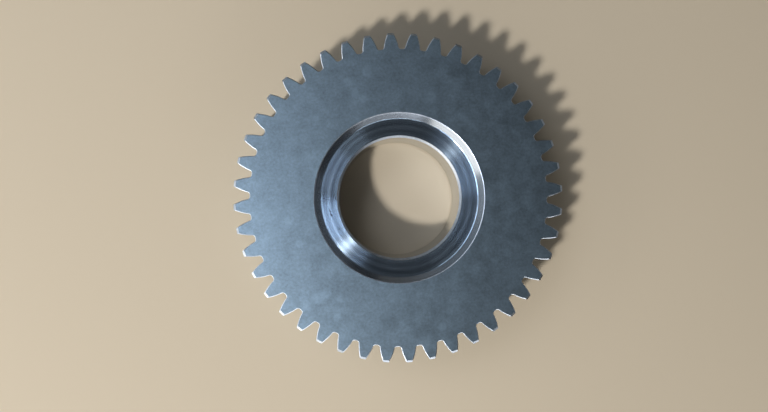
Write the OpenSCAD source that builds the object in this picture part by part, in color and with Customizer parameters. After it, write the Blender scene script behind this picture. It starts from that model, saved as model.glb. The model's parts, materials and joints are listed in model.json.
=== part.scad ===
// Spur gear for a transmission: one steel ring with 44 involute teeth, a plain through bore
// and a shallow recess on the upper face with a flat thrust shoulder round the bore.
// Millimetres, Z along the bore axis, the origin at the middle of the lower face.

/* [Teeth] */
// Number of teeth
tooth_count = 44; // [30:1:72]
// Module: pitch diameter divided by the number of teeth
gear_module = 5; // [4:0.5:8]
// Pressure angle of the flanks, degrees
pressure_angle = 20; // [16:0.5:25]
// Tooth height above the pitch circle, in modules
addendum = 1; // [0.8:0.05:1.1]
// Tooth depth below the pitch circle, in modules
dedendum = 1.25; // [1.1:0.05:1.4]
// Root fillet radius, in modules
root_fillet = 0.38; // [0.2:0.02:0.4]
// Width of the teeth, from the lower face to the upper face
face_width = 40; // [20:1:80]

/* [Tooth edges] */
// Width of the turned chamfer on the tooth tips, at both faces
tip_chamfer = 1.5; // [0.5:0.1:2.5]
// Width of the chamfer along the flanks and roots, at both faces
flank_chamfer = 0.6; // [0.3:0.1:1.2]
// Slope of both chamfers from the end faces, degrees
edge_angle = 30; // [20:5:50]

/* [Recess] */
// Diameter of the recess at the upper face
recess_mouth_d = 119; // [110:1:128]
// Depth of the shoulder below the upper face
recess_depth = 4; // [2:0.5:7]
// Slope of the recess wall from the bore axis, degrees
recess_wall_angle = 45; // [20:5:50]
// Radius of the recess mouth's edge
recess_edge_r = 0.8; // [0.2:0.1:1]
// Radius in the corner between the recess wall and the shoulder
recess_corner_r = 1.2; // [0.5:0.1:3]

/* [Bore] */
// Diameter of the through bore
bore_d = 85; // [60:1:88]
// Chamfer of the bore's edge at the shoulder
bore_upper_chamfer = 1.4; // [0.5:0.1:2.5]
// Chamfer of the bore's edge at the lower face
bore_lower_chamfer = 1.5; // [0.5:0.1:2.5]

/* [Hidden] */

// Steps of each rounded stretch: an involute flank, a root fillet and a turned edge radius
flank_steps = 7;
root_fillet_steps = 4;
edge_steps = 4;
// The tooth-edge cutter follows the same tooth space with longer steps
cutter_flank_steps = 3;
cutter_fillet_steps = 3;
// How far a cutter or an outline reaches past the surface that it crosses
overlap = 0.25;
turned_fn = 240;
steel_color = [0.42, 0.48, 0.54];

degrees_per_radian = 180 / PI;
pitch_angle = 360 / tooth_count;
pitch_r = gear_module * tooth_count / 2;
base_r = pitch_r * cos(pressure_angle);
tip_r = pitch_r + addendum * gear_module;
root_r = pitch_r - dedendum * gear_module;
tip_pressure_angle = acos(base_r / tip_r);
edge_slope = tan(edge_angle);
tip_drop = tip_chamfer * edge_slope;
fillet_r = min(root_fillet * gear_module, full_round_fillet(0, gear_module));

shoulder_z = face_width - recess_depth;
recess_mouth_r = recess_mouth_d / 2;
recess_floor_r = recess_mouth_r - recess_depth * tan(recess_wall_angle);
bore_r = bore_d / 2;

// A point in the plane, from its radius and angle
function polar(r, angle) = r * [cos(angle), sin(angle)];

// Involute function of a pressure angle, in degrees
function involute(angle) = tan(angle) * degrees_per_radian - angle;

// Half of the angle that a tooth takes up at a radius; the flank is radial inside the base circle
function half_tooth(r) =
    pitch_angle / 4 + involute(pressure_angle) - involute(acos(min(1, base_r / r)));

// Half of the angle of the space between two teeth at a radius
function half_space(r) = pitch_angle / 2 - half_tooth(r);

// Length along the line of action from the base circle to where a root fillet meets the flank,
// below zero where the fillet meets the radial part
function fillet_reach(r) = sqrt(max(0, pow(root_r + r, 2) - pow(base_r, 2))) - r;

// Radius at which a root fillet meets the flank
function fillet_end_r(r) =
    let (reach = fillet_reach(r))
    reach > 0 ? sqrt(pow(base_r, 2) + pow(reach, 2)) : sqrt(pow(root_r + r, 2) - pow(r, 2));

// Angle of a root fillet's centre from the middle of the tooth space
function fillet_angle(r) =
    pitch_angle / 2 - (fillet_reach(r) > 0
        ? half_tooth(root_r + r) + r / base_r * degrees_per_radian
        : half_tooth(base_r) + asin(r / (root_r + r)));

// Largest fillet for which the two fillets of a tooth space still leave a flat between them,
// found by halving the range
function full_round_fillet(low, high, tries = 20) =
    tries == 0 ? low
    : let (middle = (low + high) / 2)
      fillet_angle(middle) > 0
        ? full_round_fillet(middle, high, tries - 1)
        : full_round_fillet(low, middle, tries - 1);

// One side of a tooth space, from the root outwards: the fillet, then the flank
function space_side(fillet_count, flank_count) =
    let (
        centre_angle = fillet_angle(fillet_r),
        centre = polar(root_r + fillet_r, centre_angle),
        end_r = fillet_end_r(fillet_r),
        spoke = polar(end_r, half_space(end_r)) - centre,
        sweep = centre_angle + 180 - atan2(spoke.y, spoke.x),
        outer_r = tip_r + overlap
    )
    concat(
        [for (i = [0 : fillet_count])
            centre + polar(fillet_r, centre_angle + 180 - sweep * i / fillet_count)],
        [for (i = [1 : flank_count])
            let (r = end_r + (outer_r - end_r) * i / flank_count)
            polar(r, half_space(r))]
    );

// Both sides of a tooth space, joined across the root
function whole_space(side) =
    concat(
        [for (i = [len(side) - 1 : -1 : 0]) [side[i].x, -side[i].y]],
        side
    );

function turned(point, angle) =
    [point.x * cos(angle) - point.y * sin(angle), point.x * sin(angle) + point.y * cos(angle)];

function unit(v) = v / norm(v);

// The side of a tooth space carried straight on past the tip
function lengthened(side, reach) =
    let (last = len(side) - 1)
    concat(side, [side[last] + reach * unit(side[last] - side[last - 1])]);

// Left-hand normal of the step that starts at a point of a line
function step_normal(line, i) =
    let (step = unit(line[i + 1] - line[i]))
    [-step.y, step.x];

// A line moved sideways by a distance, to the left where it is positive
function moved_line(line, distance) =
    let (last = len(line) - 1)
    [for (i = [0 : last])
        let (
            before = step_normal(line, max(i - 1, 0)),
            after = step_normal(line, min(i, last - 1))
        )
        line[i] + distance * (before + after) / (1 + before * after)];

function at_height(line, z) = [for (point = line) [point.x, point.y, z]];

// Arc that rounds the corner between two straight edges
function rounded_corner(before, corner, after, r) =
    let (
        to_before = unit(before - corner),
        to_after = unit(after - corner),
        half_angle = acos(to_before * to_after) / 2,
        centre = corner + unit(to_before + to_after) * r / sin(half_angle),
        first = corner + to_before * r / tan(half_angle) - centre,
        last = corner + to_after * r / tan(half_angle) - centre,
        first_angle = atan2(first.y, first.x),
        turn = atan2(first.x * last.y - first.y * last.x, first * last)
    )
    [for (i = [0 : edge_steps]) centre + polar(r, first_angle + turn * i / edge_steps)];

// Half section of the turned blank: outside with its tip chamfers, recess, shoulder and bore
module blank_section() {
    tip_edge = [tip_r - tip_chamfer, face_width];
    mouth = [recess_mouth_r, face_width];
    floor_corner = [recess_floor_r, shoulder_z];
    bore_edge = [bore_r + bore_upper_chamfer, shoulder_z];
    polygon(concat(
        [
            [bore_r + bore_lower_chamfer, 0],
            [tip_r - tip_chamfer, 0],
            [tip_r, tip_drop],
            [tip_r, face_width - tip_drop],
            tip_edge
        ],
        rounded_corner(tip_edge, mouth, floor_corner, recess_edge_r),
        rounded_corner(mouth, floor_corner, bore_edge, recess_corner_r),
        [
            bore_edge,
            [bore_r, shoulder_z - bore_upper_chamfer],
            [bore_r, bore_lower_chamfer]
        ]
    ));
}

// Everything inside the tooth outline, a little taller than the gear
module toothed_column() {
    space = whole_space(space_side(root_fillet_steps, flank_steps));
    outline = [
        for (i = [0 : tooth_count - 1])
            for (point = space)
                turned(point, (i + 0.5) * pitch_angle)
    ];
    translate([0, 0, -overlap])
        linear_extrude(face_width + 2 * overlap)
            polygon(outline);
}

// Flared cutter that chamfers the edge of one tooth space at the upper face
module space_chamfer() {
    side = space_side(cutter_fillet_steps, cutter_flank_steps);
    edge = whole_space(lengthened(side, (flank_chamfer + overlap) * tan(tip_pressure_angle)));
    count = len(edge);
    below = at_height(moved_line(edge, -overlap), face_width - (flank_chamfer + overlap) * edge_slope);
    above = at_height(moved_line(edge, flank_chamfer + overlap), face_width + overlap * edge_slope);
    walls = [
        for (i = [0 : count - 1])
            let (j = (i + 1) % count)
            each [[i, j, count + j], [i, count + j, count + i]]
    ];
    across = [for (i = [0 : count / 2 - 2]) [i, i + 1, count - 2 - i, count - 1 - i]];
    lower_cap = [for (face = across) [face[3], face[2], face[1], face[0]]];
    upper_cap = [for (face = across) [for (i = face) count + i]];
    polyhedron(concat(below, above), concat(walls, lower_cap, upper_cap));
}

// The space chamfers all the way round, at the upper face
module space_chamfers() {
    for (i = [0 : tooth_count - 1])
        rotate((i + 0.5) * pitch_angle)
            space_chamfer();
}

module gear() {
    color(steel_color)
        difference() {
            intersection() {
                rotate_extrude($fn = turned_fn)
                    blank_section();
                toothed_column();
            }
            space_chamfers();
            translate([0, 0, face_width])
                mirror([0, 0, 1])
                    space_chamfers();
        }
}

gear();
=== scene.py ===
"""Dresses a transmission spur gear that lies flat on a pale floor, seen from nearly straight above.

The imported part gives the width, the outside, the bore and the shoulder. One tooth and the slice of
the ring behind it are modelled as a mesh, and a node tree repeats that slice round the bore axis.
Each surface then wears the finish that its last machining step left on it.
"""

import json
import logging
import math
from dataclasses import dataclass
from enum import Enum
from typing import Any

import bmesh
import bpy
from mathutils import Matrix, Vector


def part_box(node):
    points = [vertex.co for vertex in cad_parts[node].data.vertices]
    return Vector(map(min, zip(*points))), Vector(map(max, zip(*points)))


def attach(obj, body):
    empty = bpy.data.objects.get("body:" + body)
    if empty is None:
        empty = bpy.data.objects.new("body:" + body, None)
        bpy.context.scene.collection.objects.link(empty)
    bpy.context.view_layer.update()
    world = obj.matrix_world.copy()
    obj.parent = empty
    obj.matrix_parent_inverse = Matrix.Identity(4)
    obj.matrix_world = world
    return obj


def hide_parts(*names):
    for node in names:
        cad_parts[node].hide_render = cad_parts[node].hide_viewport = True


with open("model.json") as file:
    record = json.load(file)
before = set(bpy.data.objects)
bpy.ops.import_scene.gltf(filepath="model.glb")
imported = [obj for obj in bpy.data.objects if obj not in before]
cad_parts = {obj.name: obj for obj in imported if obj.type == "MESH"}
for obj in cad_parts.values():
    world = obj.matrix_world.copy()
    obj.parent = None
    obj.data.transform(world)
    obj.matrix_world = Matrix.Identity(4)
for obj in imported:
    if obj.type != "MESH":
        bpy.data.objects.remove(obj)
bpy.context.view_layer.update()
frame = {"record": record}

LOG = logging.getLogger("gear_scene")
NODE = "gear"
BODY = "root"
ZONE_ATTRIBUTE = "finish_zone"
MM = 0.001
# The bottom of a small pit, dark with old oil
PIT_COLOUR = "#46525F"
# Most values of a noise texture lie between these two
NOISE_LOW = 0.3
NOISE_HIGH = 0.7
# The shader counts a full turn of its gloss as 1
QUARTER_TURN = 0.25


class Zone(Enum):
    """The surfaces of the gear, by the machining step that finished them."""

    FACE = 0
    FLANK = 1
    TIP = 2
    EDGE = 3
    RECESS = 4
    SHOULDER = 5
    BORE = 6


def linear_colour(hex_colour: str) -> tuple[float, float, float, float]:
    """Turns an sRGB hex colour into linear light.

    Args:
        hex_colour: Six hex digits after a hash sign.

    Returns:
        Red, green, blue and a full alpha.
    """
    channels = [int(hex_colour[i : i + 2], 16) / 255 for i in (1, 3, 5)]
    linear = [c / 12.92 if c <= 0.04045 else ((c + 0.055) / 1.055) ** 2.4 for c in channels]
    return (linear[0], linear[1], linear[2], 1.0)


def add_node(
    tree: bpy.types.NodeTree,
    kind: str,
    settings: dict[str, Any] | None = None,
    inputs: dict[str | int, Any] | None = None,
) -> bpy.types.Node:
    """Adds a node, sets its properties, and sets or links its inputs.

    Args:
        tree: The node tree that gets the node.
        kind: Blender's name for the kind of node.
        settings: Properties of the node, by name.
        inputs: Values for the inputs, by name or number. A socket, or a node's live output, is linked.

    Returns:
        The new node.
    """
    node = tree.nodes.new(kind)
    for name, value in (settings or {}).items():
        setattr(node, name, value)
    for key, value in (inputs or {}).items():
        if isinstance(value, bpy.types.Node):
            value = next(socket for socket in value.outputs if socket.enabled)
        if isinstance(value, bpy.types.NodeSocket):
            tree.links.new(value, node.inputs[key])
        else:
            node.inputs[key].default_value = value
    return node


def polar(radius: float, angle: float) -> Vector:
    """The point in the plane at a radius and an angle in radians."""
    return Vector((radius * math.cos(angle), radius * math.sin(angle)))


@dataclass(frozen=True)
class GearSizes:
    """Sizes of the gear in metres and radians, with tooth heights and root fillet in modules."""

    face_width: float
    tip_r: float
    bore_r: float
    shoulder_z: float
    tooth_count: int = 44
    pressure_angle: float = math.radians(20)
    addendum: float = 1.0
    dedendum: float = 1.25
    root_fillet: float = 0.38
    tip_chamfer: float = 1.5 * MM
    flank_chamfer: float = 0.6 * MM
    root_chamfer: float = 0.4 * MM
    edge_slope: float = math.tan(math.radians(30))
    recess_mouth_r: float = 59.5 * MM
    recess_edge_r: float = 0.8 * MM
    recess_corner_r: float = 1.2 * MM
    bore_upper_chamfer: float = 1.4 * MM
    bore_lower_chamfer: float = 1.5 * MM

    @classmethod
    def from_frame(cls) -> "GearSizes":
        """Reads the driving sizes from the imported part.

        Returns:
            The sizes of the gear.
        """
        low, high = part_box(NODE)
        mounts = {mount["name"]: mount for mount in frame["record"]["mounts"]}
        return cls(
            face_width=high.z - low.z,
            tip_r=(high.x - low.x) / 2,
            bore_r=mounts["bore"]["dims"]["r_mm"] * MM,
            shoulder_z=mounts["shoulder"]["pos_m"][2],
        )

    @property
    def gear_module(self) -> float:
        """Pitch diameter divided by the number of teeth."""
        return 2 * self.tip_r / (self.tooth_count + 2 * self.addendum)

    @property
    def pitch(self) -> float:
        """Angle from one tooth to the next."""
        return math.tau / self.tooth_count

    @property
    def base_r(self) -> float:
        """Radius of the base circle of the involutes."""
        return self.gear_module * self.tooth_count / 2 * math.cos(self.pressure_angle)

    @property
    def root_r(self) -> float:
        """Radius at the bottom of the tooth spaces."""
        return self.gear_module * (self.tooth_count / 2 - self.dedendum)

    @property
    def fillet_r(self) -> float:
        """Radius of the root fillets."""
        return self.root_fillet * self.gear_module

    @property
    def recess_depth(self) -> float:
        """Depth of the shoulder below the upper face."""
        return self.face_width - self.shoulder_z


@dataclass(frozen=True)
class EdgePoint:
    """A point of the tooth outline and the edge chamfer that starts there.

    The chamfer runs from outer, on the tooth's wall, to inner, on its flat end. Its width times
    the edge slope is its depth.
    """

    outer: Vector
    inner: Vector
    width: float


@dataclass(frozen=True)
class ToothOutline:
    """Involute tooth with its root fillets, from one tooth space's middle to the next."""

    sizes: GearSizes
    flank_steps: int = 14
    fillet_steps: int = 8
    tip_steps: int = 4
    root_steps: int = 2
    halvings: int = 40

    def rolled_angle(self, radius: float) -> float:
        """Pressure angle of the involute at a radius."""
        return math.acos(min(1.0, self.sizes.base_r / radius))

    def half_tooth(self, radius: float) -> float:
        """Half of the angle that the tooth takes up at a radius.

        Args:
            radius: Distance from the bore axis.

        Returns:
            The angle, in radians.
        """
        sizes = self.sizes
        at_pitch = math.tan(sizes.pressure_angle) - sizes.pressure_angle
        rolled = self.rolled_angle(radius)
        return sizes.pitch / 4 + at_pitch - (math.tan(rolled) - rolled)

    def flank_point(self, radius: float, width: float) -> EdgePoint:
        """A point of the upper flank, with the chamfer set square to the flank.

        Args:
            radius: Distance from the bore axis.
            width: Width of the chamfer there.

        Returns:
            The point with its chamfer.
        """
        angle = self.half_tooth(radius)
        outer = polar(radius, angle)
        into = polar(1, angle - math.pi / 2 - self.rolled_angle(radius))
        return EdgePoint(outer, outer + width * into, width)

    def fillet_centre(self) -> Vector:
        """Centre of the upper root fillet, on the involute parallel to the flank.

        Returns:
            The point in the plane.
        """
        sizes = self.sizes
        radius = sizes.root_r + sizes.fillet_r
        return polar(radius, self.half_tooth(radius) + sizes.fillet_r / sizes.base_r)

    def fillet_end_r(self) -> float:
        """Radius at which the root fillet runs into the flank.

        Returns:
            The radius.
        """
        sizes = self.sizes
        centre_r = sizes.root_r + sizes.fillet_r
        along = math.sqrt(centre_r**2 - sizes.base_r**2) - sizes.fillet_r
        return math.hypot(sizes.base_r, along)

    def chamfer_corner_r(self) -> float:
        """Radius on the flank whose chamfer ends where the tip chamfer starts, found by halving.

        Returns:
            The radius.
        """
        sizes = self.sizes
        goal = sizes.tip_r - sizes.tip_chamfer
        low, high = goal, sizes.tip_r
        for _ in range(self.halvings):
            middle = (low + high) / 2
            if self.flank_point(middle, sizes.flank_chamfer).inner.length < goal:
                low = middle
            else:
                high = middle
        return low

    def flank(self) -> list[EdgePoint]:
        """The upper flank from the tip inwards.

        Returns:
            Points from the tip corner to the root fillet.
        """
        sizes = self.sizes
        corner_r = self.chamfer_corner_r()
        corner = self.flank_point(corner_r, sizes.flank_chamfer)
        # Here the sloping tip chamfer is as deep as the flank chamfer
        meeting_r = sizes.tip_r - sizes.tip_chamfer + sizes.flank_chamfer
        tip = polar(sizes.tip_r, self.half_tooth(sizes.tip_r))
        meeting = polar(meeting_r, self.half_tooth(meeting_r))
        points = [
            EdgePoint(tip, corner.inner, sizes.tip_chamfer),
            EdgePoint(meeting, corner.inner, sizes.flank_chamfer),
        ]
        end_r = self.fillet_end_r()
        for i in range(self.flank_steps + 1):
            share = i / self.flank_steps
            radius = corner_r + (end_r - corner_r) * share
            width = sizes.flank_chamfer + (sizes.root_chamfer - sizes.flank_chamfer) * share
            points.append(self.flank_point(radius, width))
        return points

    def root(self) -> list[EdgePoint]:
        """The upper root fillet and half of the root, up to the tooth space's middle.

        Returns:
            Points from the flank's foot to the middle of the tooth space.
        """
        sizes = self.sizes
        centre = self.fillet_centre()
        start_r = self.fillet_end_r()
        first = polar(start_r, self.half_tooth(start_r)) - centre
        last = -centre.normalized() * sizes.fillet_r
        start = math.atan2(first.y, first.x)
        turn = math.atan2(first.x * last.y - first.y * last.x, first.dot(last))
        points = []
        for i in range(1, self.fillet_steps + 1):
            into = polar(1, start + turn * i / self.fillet_steps)
            outer = centre + sizes.fillet_r * into
            points.append(EdgePoint(outer, outer + sizes.root_chamfer * into, sizes.root_chamfer))
        land = math.atan2(centre.y, centre.x)
        for i in range(1, self.root_steps + 1):
            angle = land + (sizes.pitch / 2 - land) * i / self.root_steps
            inner = polar(sizes.root_r - sizes.root_chamfer, angle)
            points.append(EdgePoint(polar(sizes.root_r, angle), inner, sizes.root_chamfer))
        return points

    def tip(self, corner: EdgePoint) -> list[EdgePoint]:
        """The tooth's tip between its two corners.

        Args:
            corner: The upper corner of the tip.

        Returns:
            Points strictly between the lower corner and the upper one.
        """
        reach = math.atan2(corner.outer.y, corner.outer.x)
        inner_reach = math.atan2(corner.inner.y, corner.inner.x)
        points = []
        for i in range(1, self.tip_steps):
            share = 2 * i / self.tip_steps - 1
            outer = polar(self.sizes.tip_r, reach * share)
            inner = polar(corner.inner.length, inner_reach * share)
            points.append(EdgePoint(outer, inner, self.sizes.tip_chamfer))
        return points

    def points(self) -> list[EdgePoint]:
        """The whole outline, anticlockwise.

        Returns:
            Points from the middle of one tooth space to the middle of the next.
        """
        upper = self.flank() + self.root()
        lower = [
            EdgePoint(
                Vector((p.outer.x, -p.outer.y)),
                Vector((p.inner.x, -p.inner.y)),
                p.width,
            )
            for p in reversed(upper)
        ]
        return lower + self.tip(upper[0]) + upper


@dataclass(frozen=True)
class RingSection:
    """Half section of the turned ring: web, recess, shoulder, bore and lower face."""

    sizes: GearSizes
    web_margin: float = 3 * MM
    support: float = 0.2 * MM
    round_steps: int = 6

    @property
    def web_r(self) -> float:
        """Radius at which the turned ring meets the slice under the tooth."""
        return self.sizes.root_r - self.web_margin

    def rounded(self, before: Vector, corner: Vector, after: Vector, radius: float) -> list[Vector]:
        """Rounds a corner between two straight edges, with a support point at each end.

        Args:
            before: A point on the first edge.
            corner: Where the edges meet.
            after: A point on the second edge.
            radius: Radius of the round.

        Returns:
            Points along the round.
        """
        back = (before - corner).normalized()
        onward = (after - corner).normalized()
        half = back.angle(onward) / 2
        centre = corner + (back + onward).normalized() * radius / math.sin(half)
        reach = radius / math.tan(half)
        first = corner + back * reach - centre
        last = corner + onward * reach - centre
        start = math.atan2(first.y, first.x)
        turn = math.atan2(first.x * last.y - first.y * last.x, first.dot(last))
        arc = [
            centre + polar(radius, start + turn * i / self.round_steps)
            for i in range(self.round_steps + 1)
        ]
        return [arc[0] + back * self.support, *arc, arc[-1] + onward * self.support]

    def points(self) -> list[tuple[Vector, Zone]]:
        """The section from the web's upper edge, through the bore, to its lower edge.

        Returns:
            Each point, as radius and height, with the zone of the stretch that starts there.
        """
        sizes = self.sizes
        top = sizes.face_width
        mouth = Vector((sizes.recess_mouth_r, top))
        # The recess wall slopes at 45 degrees
        floor_corner = Vector((sizes.recess_mouth_r - sizes.recess_depth, sizes.shoulder_z))
        bore_edge = Vector((sizes.bore_r + sizes.bore_upper_chamfer, sizes.shoulder_z))
        web = Vector((self.web_r, top))
        section = [(web, Zone.FACE)]
        edge = self.rounded(web, mouth, floor_corner, sizes.recess_edge_r)
        section.append((edge[0], Zone.FACE))
        section += [(p, Zone.EDGE) for p in edge[1:-2]]
        section += [(p, Zone.RECESS) for p in edge[-2:]]
        corner = self.rounded(mouth, floor_corner, bore_edge, sizes.recess_corner_r)
        section += [(corner[0], Zone.RECESS)]
        section += [(p, Zone.SHOULDER) for p in corner[1:]]
        section += [
            (bore_edge, Zone.EDGE),
            (Vector((sizes.bore_r, sizes.shoulder_z - sizes.bore_upper_chamfer)), Zone.BORE),
            (Vector((sizes.bore_r, sizes.bore_lower_chamfer)), Zone.EDGE),
            (Vector((sizes.bore_r + sizes.bore_lower_chamfer, 0)), Zone.FACE),
            (Vector((self.web_r, 0)), Zone.FACE),
        ]
        return section


@dataclass
class ToothSlice:
    """One tooth and the slice of ring behind it, as a mesh with its zones marked."""

    sizes: GearSizes
    ring_steps: int = 6
    weld: float = 0.0001 * MM
    shortest_edge: float = 0.000001 * MM

    def build(self) -> bpy.types.Mesh:
        """Makes the slice.

        Returns:
            A mesh whose faces carry their zone as a number.
        """
        shape = bmesh.new()
        zone_layer = shape.faces.layers.int.new(ZONE_ATTRIBUTE)
        self.add_tooth(shape, zone_layer)
        self.add_ring(shape, zone_layer)
        bmesh.ops.remove_doubles(shape, verts=shape.verts, dist=self.weld)
        mesh = bpy.data.meshes.new("tooth_slice")
        shape.to_mesh(mesh)
        shape.free()
        return mesh

    @staticmethod
    def row(
        shape: bmesh.types.BMesh, places: list[tuple[Vector, float]]
    ) -> list[bmesh.types.BMVert]:
        """Adds a row of points, each given by its place in the plane and its height."""
        return [shape.verts.new((xy.x, xy.y, z)) for xy, z in places]

    def add_face(
        self,
        shape: bmesh.types.BMesh,
        layer: bmesh.types.BMLayerItem,
        corners: list[bmesh.types.BMVert],
        zone: Zone,
    ) -> None:
        """Adds a face, leaving out a corner that stands on the one before it.

        Args:
            shape: The mesh that is being made.
            layer: The layer that holds each face's zone.
            corners: The corners, anticlockwise from outside.
            zone: The face's zone.
        """
        kept = [
            corner
            for i, corner in enumerate(corners)
            if (corner.co - corners[i - 1].co).length > self.shortest_edge
        ]
        if len(kept) > 2:
            shape.faces.new(kept)[layer] = zone.value

    def ring_angles(self) -> list[float]:
        """Angles of the slice's radial lines."""
        pitch = self.sizes.pitch
        return [pitch * (i / self.ring_steps - 0.5) for i in range(self.ring_steps + 1)]

    def add_tooth(self, shape: bmesh.types.BMesh, layer: bmesh.types.BMLayerItem) -> None:
        """Adds the tooth's walls, its edge chamfers and its two flat ends.

        Args:
            shape: The mesh that is being made.
            layer: The layer that holds each face's zone.
        """
        top = self.sizes.face_width
        slope = self.sizes.edge_slope
        points = ToothOutline(self.sizes).points()
        upper_end = self.row(shape, [(p.inner, top) for p in points])
        upper_wall = self.row(shape, [(p.outer, top - p.width * slope) for p in points])
        lower_wall = self.row(shape, [(p.outer, p.width * slope) for p in points])
        lower_end = self.row(shape, [(p.inner, 0.0) for p in points])
        tip_width = self.sizes.tip_chamfer
        for i in range(len(points) - 1):
            at_tip = points[i].width == tip_width and points[i + 1].width == tip_width
            wall_zone = Zone.TIP if at_tip else Zone.FLANK
            pairs = (
                (upper_wall, upper_end, Zone.EDGE),
                (lower_wall, upper_wall, wall_zone),
                (lower_end, lower_wall, Zone.EDGE),
            )
            for below, above, zone in pairs:
                corners = [below[i], below[i + 1], above[i + 1], above[i]]
                self.add_face(shape, layer, corners, zone)
        arc = [polar(RingSection(self.sizes).web_r, angle) for angle in self.ring_angles()]
        upper_arc = self.row(shape, [(xy, top) for xy in arc])
        lower_arc = self.row(shape, [(xy, 0.0) for xy in arc])
        self.add_face(shape, layer, upper_end + upper_arc[::-1], Zone.FACE)
        self.add_face(shape, layer, lower_arc + lower_end[::-1], Zone.FACE)

    def add_ring(self, shape: bmesh.types.BMesh, layer: bmesh.types.BMLayerItem) -> None:
        """Turns the ring's section through the slice's angle.

        Args:
            shape: The mesh that is being made.
            layer: The layer that holds each face's zone.
        """
        section = RingSection(self.sizes).points()
        rows = []
        for point, _ in section:
            arc = [polar(point.x, angle) for angle in self.ring_angles()]
            rows.append(self.row(shape, [(xy, point.y) for xy in arc]))
        for i in range(len(section) - 1):
            zone = section[i][1]
            for j in range(self.ring_steps):
                corners = [rows[i][j], rows[i][j + 1], rows[i + 1][j + 1], rows[i + 1][j]]
                self.add_face(shape, layer, corners, zone)


@dataclass(frozen=True)
class Marks:
    """What machining and use leave on the steel, as nodes of the material."""

    shade: bpy.types.Node
    relief: bpy.types.Node
    depth: float
    roughness: bpy.types.Node | float
    pitting: bpy.types.Node | None = None


@dataclass(frozen=True)
class SteelFinish:
    """Bare steel as one machining step left it; each kind adds its own marks."""

    name: str
    dark: str
    light: str
    roughness: float
    anisotropy: float = 0.0

    def make(self) -> bpy.types.Material:
        """Builds the material.

        Returns:
            A material whose colour, roughness and relief come from its nodes.
        """
        material = bpy.data.materials.new(self.name)
        material.use_nodes = True
        tree = material.node_tree
        tree.nodes.clear()
        marks = self.marks(tree, add_node(tree, "ShaderNodeTexCoord").outputs["Object"])
        # Inputs 6 and 7 are the two colours
        colour = add_node(
            tree,
            "ShaderNodeMix",
            {"data_type": "RGBA"},
            {0: marks.shade, 6: linear_colour(self.dark), 7: linear_colour(self.light)},
        )
        if marks.pitting:
            colour = add_node(
                tree,
                "ShaderNodeMix",
                {"data_type": "RGBA"},
                {0: marks.pitting, 6: colour, 7: linear_colour(PIT_COLOUR)},
            )
        bump = add_node(
            tree,
            "ShaderNodeBump",
            inputs={"Strength": 1.0, "Distance": marks.depth, "Height": marks.relief},
        )
        steel = {
            "Base Color": colour,
            "Metallic": 1.0,
            "Roughness": marks.roughness,
            "Anisotropic": self.anisotropy,
            "Normal": bump,
        }
        if self.anisotropy:
            # Tool marks run round the bore axis and draw the gloss out across them
            steel["Tangent"] = add_node(
                tree, "ShaderNodeTangent", {"direction_type": "RADIAL", "axis": "Z"}
            )
            steel["Anisotropic Rotation"] = QUARTER_TURN
        shader = add_node(tree, "ShaderNodeBsdfPrincipled", inputs=steel)
        add_node(tree, "ShaderNodeOutputMaterial", inputs={"Surface": shader})
        return material

    def marks(self, tree: bpy.types.NodeTree, place: bpy.types.NodeSocket) -> Marks:
        """Adds the marks of the machining step.

        Args:
            tree: The material's node tree.
            place: Object coordinates, in metres.

        Returns:
            The marks, as nodes.
        """
        raise NotImplementedError


@dataclass(frozen=True)
class BlastedFace(SteelFinish):
    """Case-hardened steel, shot blasted: even blue-grey satin, faintly clouded and stained."""

    grain: float = 1.9 * MM
    grain_depth: float = 0.02 * MM
    grain_weight: float = 1.4
    cloud: float = 11 * MM
    cloud_weight: float = 1.0
    stain: float = 11 * MM
    stain_weight: float = 0.35
    stain_core: float = 0.22
    stain_rim: float = 0.36
    stained_area: float = 44 * MM
    area_rim: float = 0.52
    area_core: float = 0.66
    fine_share: float = 0.7
    shade_offset: float = -0.75
    uneven: float = 0.02

    def marks(self, tree: bpy.types.NodeTree, place: bpy.types.NodeSocket) -> Marks:
        """Fine grain, broad clouds and a few pale dried-oil stains.

        The grain of blasted steel is near 0.2 mm and is drawn coarser, so that it shows.

        Args:
            tree: The material's node tree.
            place: Object coordinates, in metres.

        Returns:
            The marks, as nodes.
        """
        grain, cloud, area = [
            add_node(
                tree,
                "ShaderNodeTexNoise",
                inputs={
                    "Vector": place,
                    "Scale": 1 / size,
                    "Detail": octaves,
                    "Roughness": self.fine_share,
                },
            )
            for size, octaves in ((self.grain, 4.0), (self.cloud, 3.0), (self.stained_area, 1.0))
        ]
        spots = add_node(
            tree,
            "ShaderNodeTexVoronoi",
            {"feature": "SMOOTH_F1"},
            {"Vector": place, "Scale": 1 / self.stain},
        )
        spot = add_node(
            tree,
            "ShaderNodeMapRange",
            inputs={
                "Value": spots,
                "From Min": self.stain_core,
                "From Max": self.stain_rim,
                "To Min": 1.0,
                "To Max": 0.0,
            },
        )
        stained = add_node(
            tree,
            "ShaderNodeMapRange",
            inputs={"Value": area, "From Min": self.area_rim, "From Max": self.area_core},
        )
        stain = add_node(tree, "ShaderNodeMath", {"operation": "MULTIPLY"}, {0: spot, 1: stained})
        layers = (
            (cloud, self.cloud_weight),
            (grain, self.grain_weight),
            (stain, self.stain_weight),
        )
        shade: Any = self.shade_offset
        for layer, weight in layers:
            shade = add_node(
                tree, "ShaderNodeMath", {"operation": "MULTIPLY_ADD"}, {0: layer, 1: weight, 2: shade}
            )
        rough = add_node(
            tree,
            "ShaderNodeMapRange",
            inputs={
                "Value": cloud,
                "From Min": NOISE_LOW,
                "From Max": NOISE_HIGH,
                "To Min": self.roughness - self.uneven,
                "To Max": self.roughness + self.uneven,
            },
        )
        return Marks(shade, grain, self.grain_depth, rough)


@dataclass(frozen=True)
class Pit:
    """A small dark pit in a turned face: its place round the bore axis and its reach, in metres.

    The angle is in radians.
    """

    distance: float
    angle: float
    reach: float


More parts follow.
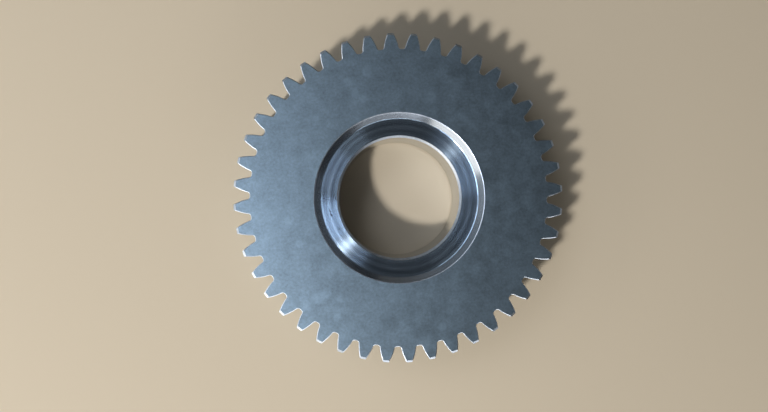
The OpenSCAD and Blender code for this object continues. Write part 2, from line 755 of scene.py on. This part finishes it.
@dataclass(frozen=True)
class TurnedSteel(SteelFinish):
    """Bright steel off a fine turning tool: gloss drawn out across rings round the axis.

    Rings and bands are spaced in metres, arcs sets how often a ring breaks up on its way round,
    a band is palest at band_start, and a worn face has a few pits.
    """

    ring: float = 1.6 * MM
    ring_depth: float = 0.002 * MM
    ring_contrast: float = 0.9
    arcs: float = 1.6
    band: float = 4.85 * MM
    band_start: float = 45 * MM
    band_depth: float = 0.0
    pits: tuple[Pit, ...] = ()

    def marks(self, tree: bpy.types.NodeTree, place: bpy.types.NodeSocket) -> Marks:
        """Tool rings in long arcs, and wider bands that the tool or a washer has polished.

        A fine turned finish repeats every 0.1 mm and is drawn coarser, so that it shows.

        Args:
            tree: The material's node tree.
            place: Object coordinates, in metres.

        Returns:
            The marks, as nodes.
        """
        flat = add_node(
            tree, "ShaderNodeVectorMath", {"operation": "MULTIPLY"}, {0: place, 1: (1, 1, 0)}
        )
        radius = add_node(tree, "ShaderNodeVectorMath", {"operation": "LENGTH"}, {0: flat})
        outward = add_node(tree, "ShaderNodeVectorMath", {"operation": "NORMALIZE"}, {0: flat})
        height = add_node(tree, "ShaderNodeSeparateXYZ", inputs={0: place}).outputs["Z"]
        travel = add_node(tree, "ShaderNodeMath", {"operation": "ADD"}, {0: radius, 1: height})
        across = add_node(
            tree, "ShaderNodeMath", {"operation": "DIVIDE"}, {0: travel, 1: self.ring}
        )
        lift = add_node(tree, "ShaderNodeCombineXYZ", inputs={"Z": across})
        path = add_node(
            tree,
            "ShaderNodeVectorMath",
            {"operation": "MULTIPLY_ADD"},
            {0: outward, 1: (self.arcs, self.arcs, 0), 2: lift},
        )
        rings = add_node(
            tree, "ShaderNodeTexNoise", inputs={"Vector": path, "Scale": 1.0, "Detail": 2.0}
        )
        start = add_node(
            tree, "ShaderNodeMath", {"operation": "SUBTRACT"}, {0: radius, 1: self.band_start}
        )
        turn = add_node(
            tree, "ShaderNodeMath", {"operation": "MULTIPLY"}, {0: start, 1: math.tau / self.band}
        )
        wave = add_node(tree, "ShaderNodeMath", {"operation": "COSINE"}, {0: turn})
        # The rings average a half, so this keeps the middle tone
        shade: Any = 0.5 - self.ring_contrast / 2
        for layer, weight in ((rings, self.ring_contrast), (wave, self.band_depth)):
            shade = add_node(
                tree, "ShaderNodeMath", {"operation": "MULTIPLY_ADD"}, {0: layer, 1: weight, 2: shade}
            )
        return Marks(shade, rings, self.ring_depth, self.roughness, self.pitting(tree, flat))

    def pitting(self, tree: bpy.types.NodeTree, flat: bpy.types.Node) -> bpy.types.Node | None:
        """Adds the nodes that find the pits.

        Args:
            tree: The material's node tree.
            flat: Object coordinates without their height, in metres.

        Returns:
            A node that gives 1 in a pit and 0 beside it, or None on a face without pits.
        """
        pitting: bpy.types.Node | None = None
        for pit in self.pits:
            middle = polar(pit.distance, pit.angle)
            away = add_node(
                tree,
                "ShaderNodeVectorMath",
                {"operation": "DISTANCE"},
                {0: flat, 1: (middle.x, middle.y, 0)},
            )
            # Dark to half of its reach, then fading out
            near = add_node(
                tree,
                "ShaderNodeMapRange",
                inputs={
                    "Value": away,
                    "From Min": pit.reach / 2,
                    "From Max": pit.reach,
                    "To Min": 1.0,
                    "To Max": 0.0,
                },
            )
            if pitting:
                near = add_node(
                    tree, "ShaderNodeMath", {"operation": "MAXIMUM"}, {0: pitting, 1: near}
                )
            pitting = near
        return pitting


@dataclass(frozen=True)
class GroundEdge(SteelFinish):
    """Edge broken with a chamfer wheel after hardening: bright bare steel, lightly scratched."""

    scratch: float = 1.2 * MM
    scratch_depth: float = 0.004 * MM
    uneven: float = 0.06

    def marks(self, tree: bpy.types.NodeTree, place: bpy.types.NodeSocket) -> Marks:
        """Small patches, brighter and duller.

        The wheel's scratches are near 0.1 mm and are drawn coarser, as patches that show.

        Args:
            tree: The material's node tree.
            place: Object coordinates, in metres.

        Returns:
            The marks, as nodes.
        """
        patches = add_node(
            tree,
            "ShaderNodeTexNoise",
            inputs={"Vector": place, "Scale": 1 / self.scratch, "Detail": 3.0},
        )
        shade, rough = [
            add_node(
                tree,
                "ShaderNodeMapRange",
                inputs={
                    "Value": patches,
                    "From Min": NOISE_LOW,
                    "From Max": NOISE_HIGH,
                    "To Min": low,
                    "To Max": high,
                },
            )
            for low, high in (
                (0.0, 1.0),
                (self.roughness - self.uneven, self.roughness + self.uneven),
            )
        ]
        return Marks(shade, patches, self.scratch_depth, rough)


@dataclass(frozen=True)
class HobbedFlank(SteelFinish):
    """Tooth flank cut with a hob: grey steel with faint feed marks along the tooth."""

    feed: float = 1.6 * MM
    feed_depth: float = 0.012 * MM
    grain: float = 0.8 * MM
    drift: float = 0.25
    wave_weight: float = 0.18

    def marks(self, tree: bpy.types.NodeTree, place: bpy.types.NodeSocket) -> Marks:
        """Feed marks square to the axis, broken up by a fine grain.

        The grain of the cut is near 0.2 mm and is drawn coarser, so that it shows.

        Args:
            tree: The material's node tree.
            place: Object coordinates, in metres.

        Returns:
            The marks, as nodes.
        """
        height = add_node(tree, "ShaderNodeSeparateXYZ", inputs={0: place}).outputs["Z"]
        grain = add_node(
            tree,
            "ShaderNodeTexNoise",
            inputs={"Vector": place, "Scale": 1 / self.grain, "Detail": 3.0},
        )
        wander = add_node(
            tree,
            "ShaderNodeMath",
            {"operation": "MULTIPLY_ADD"},
            {0: grain, 1: self.drift * self.feed, 2: height},
        )
        turn = add_node(
            tree, "ShaderNodeMath", {"operation": "MULTIPLY"}, {0: wander, 1: math.tau / self.feed}
        )
        wave = add_node(tree, "ShaderNodeMath", {"operation": "SINE"}, {0: turn})
        shade = add_node(
            tree,
            "ShaderNodeMath",
            {"operation": "MULTIPLY_ADD"},
            {0: wave, 1: self.wave_weight, 2: grain},
        )
        return Marks(shade, shade, self.feed_depth, self.roughness)


@dataclass(frozen=True)
class HonedBore(SteelFinish):
    """Honed bore: bright steel with a fine crossed pattern."""

    bore_r: float = 42.5 * MM
    hatch: float = 0.9 * MM
    hatch_depth: float = 0.003 * MM
    hatch_weight: float = 0.2
    slant: float = math.radians(30)

    def marks(self, tree: bpy.types.NodeTree, place: bpy.types.NodeSocket) -> Marks:
        """Two sets of slanted lines round the wall.

        Hone marks are finer than 0.1 mm and are drawn coarser, so that they show.

        Args:
            tree: The material's node tree.
            place: Object coordinates, in metres.

        Returns:
            The marks, as nodes.
        """
        axes = add_node(tree, "ShaderNodeSeparateXYZ", inputs={0: place}).outputs
        turn = add_node(
            tree, "ShaderNodeMath", {"operation": "ARCTAN2"}, {0: axes["Y"], 1: axes["X"]}
        )
        whole_lines = round(math.tau * self.bore_r * math.sin(self.slant) / self.hatch)
        rise = math.tau * math.cos(self.slant) / self.hatch
        climb = add_node(tree, "ShaderNodeMath", {"operation": "MULTIPLY"}, {0: axes["Z"], 1: rise})
        # The lines swing to both sides of the middle tone
        shade: Any = 0.5
        for side in (-1, 1):
            phase = add_node(
                tree,
                "ShaderNodeMath",
                {"operation": "MULTIPLY_ADD"},
                {0: turn, 1: side * whole_lines, 2: climb},
            )
            line = add_node(tree, "ShaderNodeMath", {"operation": "SINE"}, {0: phase})
            shade = add_node(
                tree,
                "ShaderNodeMath",
                {"operation": "MULTIPLY_ADD"},
                {0: line, 1: self.hatch_weight, 2: shade},
            )
        return Marks(shade, shade, self.hatch_depth, self.roughness)


@dataclass(frozen=True)
class GearFinishes:
    """The finish of each zone."""

    sizes: GearSizes

    def by_zone(self) -> dict[Zone, SteelFinish]:
        """Sets each zone's finish.

        Returns:
            The finish of each zone: its name, its dark and light tone and its roughness,
            and on turned steel how far its gloss is drawn out.
        """
        return {
            Zone.FACE: BlastedFace("blasted_face_steel", "#727E82", "#91A2AA", 0.45),
            Zone.FLANK: HobbedFlank("hobbed_flank_steel", "#6E7880", "#99A3AA", 0.36),
            Zone.TIP: TurnedSteel("turned_tip_steel", "#7C878F", "#A3ADB4", 0.34, 0.6),
            Zone.EDGE: GroundEdge("chamfered_edge_steel", "#BFC5CA", "#DFE3E6", 0.34),
            Zone.RECESS: TurnedSteel("turned_recess_steel", "#8F959B", "#B5BBC0", 0.22, 0.15),
            Zone.SHOULDER: TurnedSteel(
                "turned_shoulder_steel",
                "#8295A6",
                "#D4E8F8",
                0.23,
                1.0,
                band_depth=0.2,
                pits=(
                    Pit(49.4 * MM, math.radians(190.8), 1.15 * MM),
                    Pit(49.3 * MM, math.radians(188.0), 0.75 * MM),
                    Pit(49.9 * MM, math.radians(186.5), 0.7 * MM),
                    Pit(47.6 * MM, math.radians(204.0), 1.0 * MM),
                ),
            ),
            Zone.BORE: HonedBore(
                "honed_bore_steel", "#B6B8B9", "#C8CACB", 0.08, bore_r=self.sizes.bore_r
            ),
        }

    def materials(self) -> dict[Zone, bpy.types.Material]:
        """Builds the materials.

        Returns:
            The material of each zone.
        """
        return {zone: finish.make() for zone, finish in self.by_zone().items()}


@dataclass
class TransmissionGear:
    """The whole gear: the slice repeated round the axis, welded and dressed."""

    sizes: GearSizes
    weld: float = 0.002 * MM
    sharp_angle: float = math.radians(24)

    def slice_pattern(self, materials: dict[Zone, bpy.types.Material]) -> bpy.types.NodeTree:
        """Builds the node tree that repeats the slice and gives each zone its material.

        Args:
            materials: The material of each zone.

        Returns:
            The node tree.
        """
        tree = bpy.data.node_groups.new("tooth_pattern", "GeometryNodeTree")
        sockets = tree.interface
        sockets.new_socket(name="Slice", in_out="INPUT", socket_type="NodeSocketGeometry")
        sockets.new_socket(name="Tooth Count", in_out="INPUT", socket_type="NodeSocketInt")
        sockets.new_socket(name="Weld Distance", in_out="INPUT", socket_type="NodeSocketFloat")
        sockets.new_socket(name="Gear", in_out="OUTPUT", socket_type="NodeSocketGeometry")
        given = add_node(tree, "NodeGroupInput").outputs
        points = add_node(tree, "GeometryNodePoints", inputs={"Count": given["Tooth Count"]})
        index = add_node(tree, "GeometryNodeInputIndex")
        pitch = add_node(
            tree, "ShaderNodeMath", {"operation": "DIVIDE"}, {0: math.tau, 1: given["Tooth Count"]}
        )
        angle = add_node(tree, "ShaderNodeMath", {"operation": "MULTIPLY"}, {0: index, 1: pitch})
        euler = add_node(tree, "ShaderNodeCombineXYZ", inputs={"Z": angle})
        turn = add_node(tree, "FunctionNodeEulerToRotation", inputs={0: euler})
        copies = add_node(
            tree,
            "GeometryNodeInstanceOnPoints",
            inputs={"Points": points, "Instance": given["Slice"], "Rotation": turn},
        )
        real = add_node(tree, "GeometryNodeRealizeInstances", inputs={0: copies})
        shape = add_node(
            tree,
            "GeometryNodeMergeByDistance",
            inputs={"Geometry": real, "Distance": given["Weld Distance"]},
        )
        zone_number = add_node(
            tree, "GeometryNodeInputNamedAttribute", {"data_type": "INT"}, {"Name": ZONE_ATTRIBUTE}
        )
        for zone, material in materials.items():
            # Inputs 2 and 3 are the two whole numbers
            chosen = add_node(
                tree,
                "FunctionNodeCompare",
                {"data_type": "INT", "operation": "EQUAL"},
                {2: zone_number, 3: zone.value},
            )
            shape = add_node(
                tree,
                "GeometryNodeSetMaterial",
                inputs={"Geometry": shape, "Selection": chosen, "Material": material},
            )
        add_node(tree, "NodeGroupOutput", inputs={"Gear": shape})
        return tree

    def build(self) -> bpy.types.Object:
        """Makes the gear as one plain mesh.

        Returns:
            The gear's object, at the origin.
        """
        tree = self.slice_pattern(GearFinishes(self.sizes).materials())
        slice_object = bpy.data.objects.new("tooth_slice", ToothSlice(self.sizes).build())
        bpy.context.scene.collection.objects.link(slice_object)
        pattern = slice_object.modifiers.new("tooth_pattern", "NODES")
        pattern.node_group = tree
        given = {"Tooth Count": self.sizes.tooth_count, "Weld Distance": self.weld}
        for socket in tree.interface.items_tree:
            if socket.in_out == "INPUT" and socket.name in given:
                pattern[socket.identifier] = given[socket.name]
        depsgraph = bpy.context.evaluated_depsgraph_get()
        mesh = bpy.data.meshes.new_from_object(slice_object.evaluated_get(depsgraph))
        slice_object.modifiers.remove(pattern)
        bpy.data.objects.remove(slice_object)
        mesh.name = "transmission_gear"
        mesh.shade_smooth()
        mesh.set_sharp_from_angle(angle=self.sharp_angle)
        gear = bpy.data.objects.new("transmission_gear", mesh)
        bpy.context.scene.collection.objects.link(gear)
        return gear

    def place(self) -> bpy.types.Object:
        """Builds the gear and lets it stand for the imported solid.

        Returns:
            The gear's object.
        """
        gear = self.build()
        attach(gear, BODY)
        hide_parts(NODE)
        LOG.info("%s: %d faces", gear.name, len(gear.data.polygons))
        return gear


@dataclass(frozen=True)
class Softbox:
    """A soft studio lamp aimed at the gear, which may leave out the matt floor or the steel.

    Azimuth and elevation are in degrees, lengths in metres and power in watts.
    """

    name: str
    azimuth: float
    elevation: float
    distance: float
    width: float
    height: float
    power: float
    colour: str
    lights_floor: bool = True
    shows_in_steel: bool = True

    def place(self, target: Vector) -> None:
        """Hangs the lamp.

        Args:
            target: The point that it is aimed at.
        """
        lamp = bpy.data.lights.new(self.name, "AREA")
        lamp.shape = "RECTANGLE"
        lamp.size = self.width
        lamp.size_y = self.height
        lamp.energy = self.power
        lamp.color = linear_colour(self.colour)[:3]
        turn = math.radians(self.azimuth)
        rise = math.radians(self.elevation)
        level = polar(math.cos(rise), turn)
        out = Vector((level.x, level.y, math.sin(rise)))
        holder = bpy.data.objects.new(self.name, lamp)
        holder.visible_diffuse = self.lights_floor
        holder.visible_glossy = self.shows_in_steel
        holder.location = target + out * self.distance
        holder.rotation_euler = out.to_track_quat("Z", "Y").to_euler()
        bpy.context.scene.collection.objects.link(holder)


@dataclass(frozen=True)
class PhotoCamera:
    """Camera above the gear, in the photograph's frame of 768 by 412 pixels.

    It stands off the bore axis by right and up, in the picture's own directions.
    """

    image_width: int = 768
    focal_px: float = 564.0
    height: float = 391.8 * MM
    right: float = -28.2 * MM
    up: float = -5.75 * MM
    roll: float = math.radians(-3.34)
    tilt: float = math.radians(2.49)
    sensor_width: float = 36.0

    def place(self, top: float) -> None:
        """Sets the camera up.

        Args:
            top: Height of the gear's upper face.
        """
        lens = bpy.data.cameras.new("photo_camera")
        lens.sensor_fit = "HORIZONTAL"
        lens.sensor_width = self.sensor_width
        lens.lens = self.focal_px / self.image_width * self.sensor_width
        camera = bpy.data.objects.new("photo_camera", lens)
        across = polar(self.right, self.roll) + polar(self.up, self.roll + math.pi / 2)
        camera.location = (across.x, across.y, top + self.height)
        camera.rotation_euler = (0, -self.tilt, self.roll)
        bpy.context.scene.collection.objects.link(camera)
        bpy.context.scene.camera = camera


@dataclass(frozen=True)
class Studio:
    """Pale floor, soft lamps and a dim room round them."""

    sizes: GearSizes
    floor_half: float = 4.0
    floor_colour: str = "#C7B79C"
    floor_roughness: float = 0.85
    wall_dark: str = "#323436"
    wall_light: str = "#8A949E"
    ceiling: str = "#3D3E40"
    bright_side: float = 178.0
    side_ramp: tuple[float, float] = (-0.2, 0.9)
    ceiling_ramp: tuple[float, float] = (0.15, 0.75)

    def lamps(self) -> list[Softbox]:
        """The lamps, each named for where it stands in the picture.

        The key lamp draws the bright streaks on the turned shoulder, the high panels shade the
        upper face, and the low lamps show in the chamfers and the recess wall. Two panels and the
        upper strip leave out the floor, to keep the gear's shadow clear, and the floor lamp lights
        nothing else.

        Returns:
            The lamps.
        """
        # Each with its azimuth, elevation, distance, width, height, power and colour
        return [
            Softbox("key_lamp", 221, 45, 2.4, 0.2, 0.2, 35.0, "#F0F4FC"),
            Softbox("floor_lamp", 221, 45, 2.4, 0.3, 0.3, 17.0, "#FFFAF4", shows_in_steel=False),
            Softbox("left_panel", 196.3, 54, 1.6, 0.58, 0.7, 10.5, "#D4E4FF", lights_floor=False),
            Softbox("far_left_panel", 153, 52, 1.6, 0.6, 0.7, 3.8, "#DCE8FF"),
            Softbox("upper_left_panel", 124, 48, 1.6, 0.5, 0.6, 1.9, "#E8F0FC"),
            Softbox("side_panel", 234, 50, 1.6, 0.26, 0.5, 1.7, "#D4E4FF", lights_floor=False),
            Softbox("low_strip", 221, 14, 1.5, 1.45, 0.36, 4.0, "#FFFAF4"),
            Softbox("low_panel", 279, 21, 1.5, 1.25, 0.4, 5.0, "#F0F4FC"),
            Softbox("right_panel", 14, 13, 1.6, 1.9, 0.14, 0.6, "#DCE8FA"),
            Softbox("upper_strip", 90, 7, 1.6, 1.3, 0.12, 0.12, "#FFFAF4", lights_floor=False),
            Softbox("left_strip", 180, 24, 1.6, 0.9, 0.22, 1.3, "#F8F9FC"),
            Softbox("upper_left_strip", 160, 28, 1.6, 0.4, 0.22, 0.75, "#F8F9FC"),
        ]

    def add_floor(self) -> None:
        """Lays the plain pale floor."""
        mesh = bpy.data.meshes.new("floor")
        half = self.floor_half
        corners = [(-half, -half, 0), (half, -half, 0), (half, half, 0), (-half, half, 0)]
        mesh.from_pydata(corners, [], [(0, 1, 2, 3)])
        floor = bpy.data.objects.new("floor", mesh)
        # Matt paint, rolled on: a pale, even tone with no gloss to mirror the lamps
        material = bpy.data.materials.new("matt_floor_paint")
        material.use_nodes = True
        shader = material.node_tree.nodes["Principled BSDF"]
        shader.inputs["Base Color"].default_value = linear_colour(self.floor_colour)
        shader.inputs["Roughness"].default_value = self.floor_roughness
        mesh.materials.append(material)
        bpy.context.scene.collection.objects.link(floor)

    def add_room(self) -> None:
        """Lights the room softly from its walls, most from one side, under a dark ceiling."""
        world = bpy.data.worlds.new("studio_room")
        world.use_nodes = True
        tree = world.node_tree
        tree.nodes.clear()
        way = add_node(tree, "ShaderNodeTexCoord").outputs["Generated"]
        side = polar(1, math.radians(self.bright_side))
        toward, upward = [
            add_node(
                tree, "ShaderNodeVectorMath", {"operation": "DOT_PRODUCT"}, {0: way, 1: direction}
            )
            for direction in ((side.x, side.y, 0), (0, 0, 1))
        ]
        side_share, ceiling_share = [
            add_node(
                tree,
                "ShaderNodeMapRange",
                {"interpolation_type": "SMOOTHSTEP"},
                {"Value": value, "From Min": low, "From Max": high},
            )
            for value, (low, high) in ((toward, self.side_ramp), (upward, self.ceiling_ramp))
        ]
        colour: Any = linear_colour(self.wall_dark)
        for share, other in ((side_share, self.wall_light), (ceiling_share, self.ceiling)):
            colour = add_node(
                tree,
                "ShaderNodeMix",
                {"data_type": "RGBA"},
                {0: share, 6: colour, 7: linear_colour(other)},
            )
        glow = add_node(tree, "ShaderNodeBackground", inputs={"Color": colour})
        add_node(tree, "ShaderNodeOutputWorld", inputs={"Surface": glow})
        bpy.context.scene.world = world

    def build(self) -> None:
        """Sets up the floor, the room, the lamps and the camera."""
        top = self.sizes.face_width
        self.add_floor()
        self.add_room()
        for lamp in self.lamps():
            lamp.place(Vector((0, 0, top)))
        PhotoCamera().place(top)
        bpy.context.scene.view_settings.view_transform = "Standard"


def main() -> None:
    """Builds the gear and the studio round it."""
    logging.basicConfig(level=logging.INFO)
    sizes = GearSizes.from_frame()
    TransmissionGear(sizes).place()
    Studio(sizes).build()


if __name__ == "__main__":
    main()
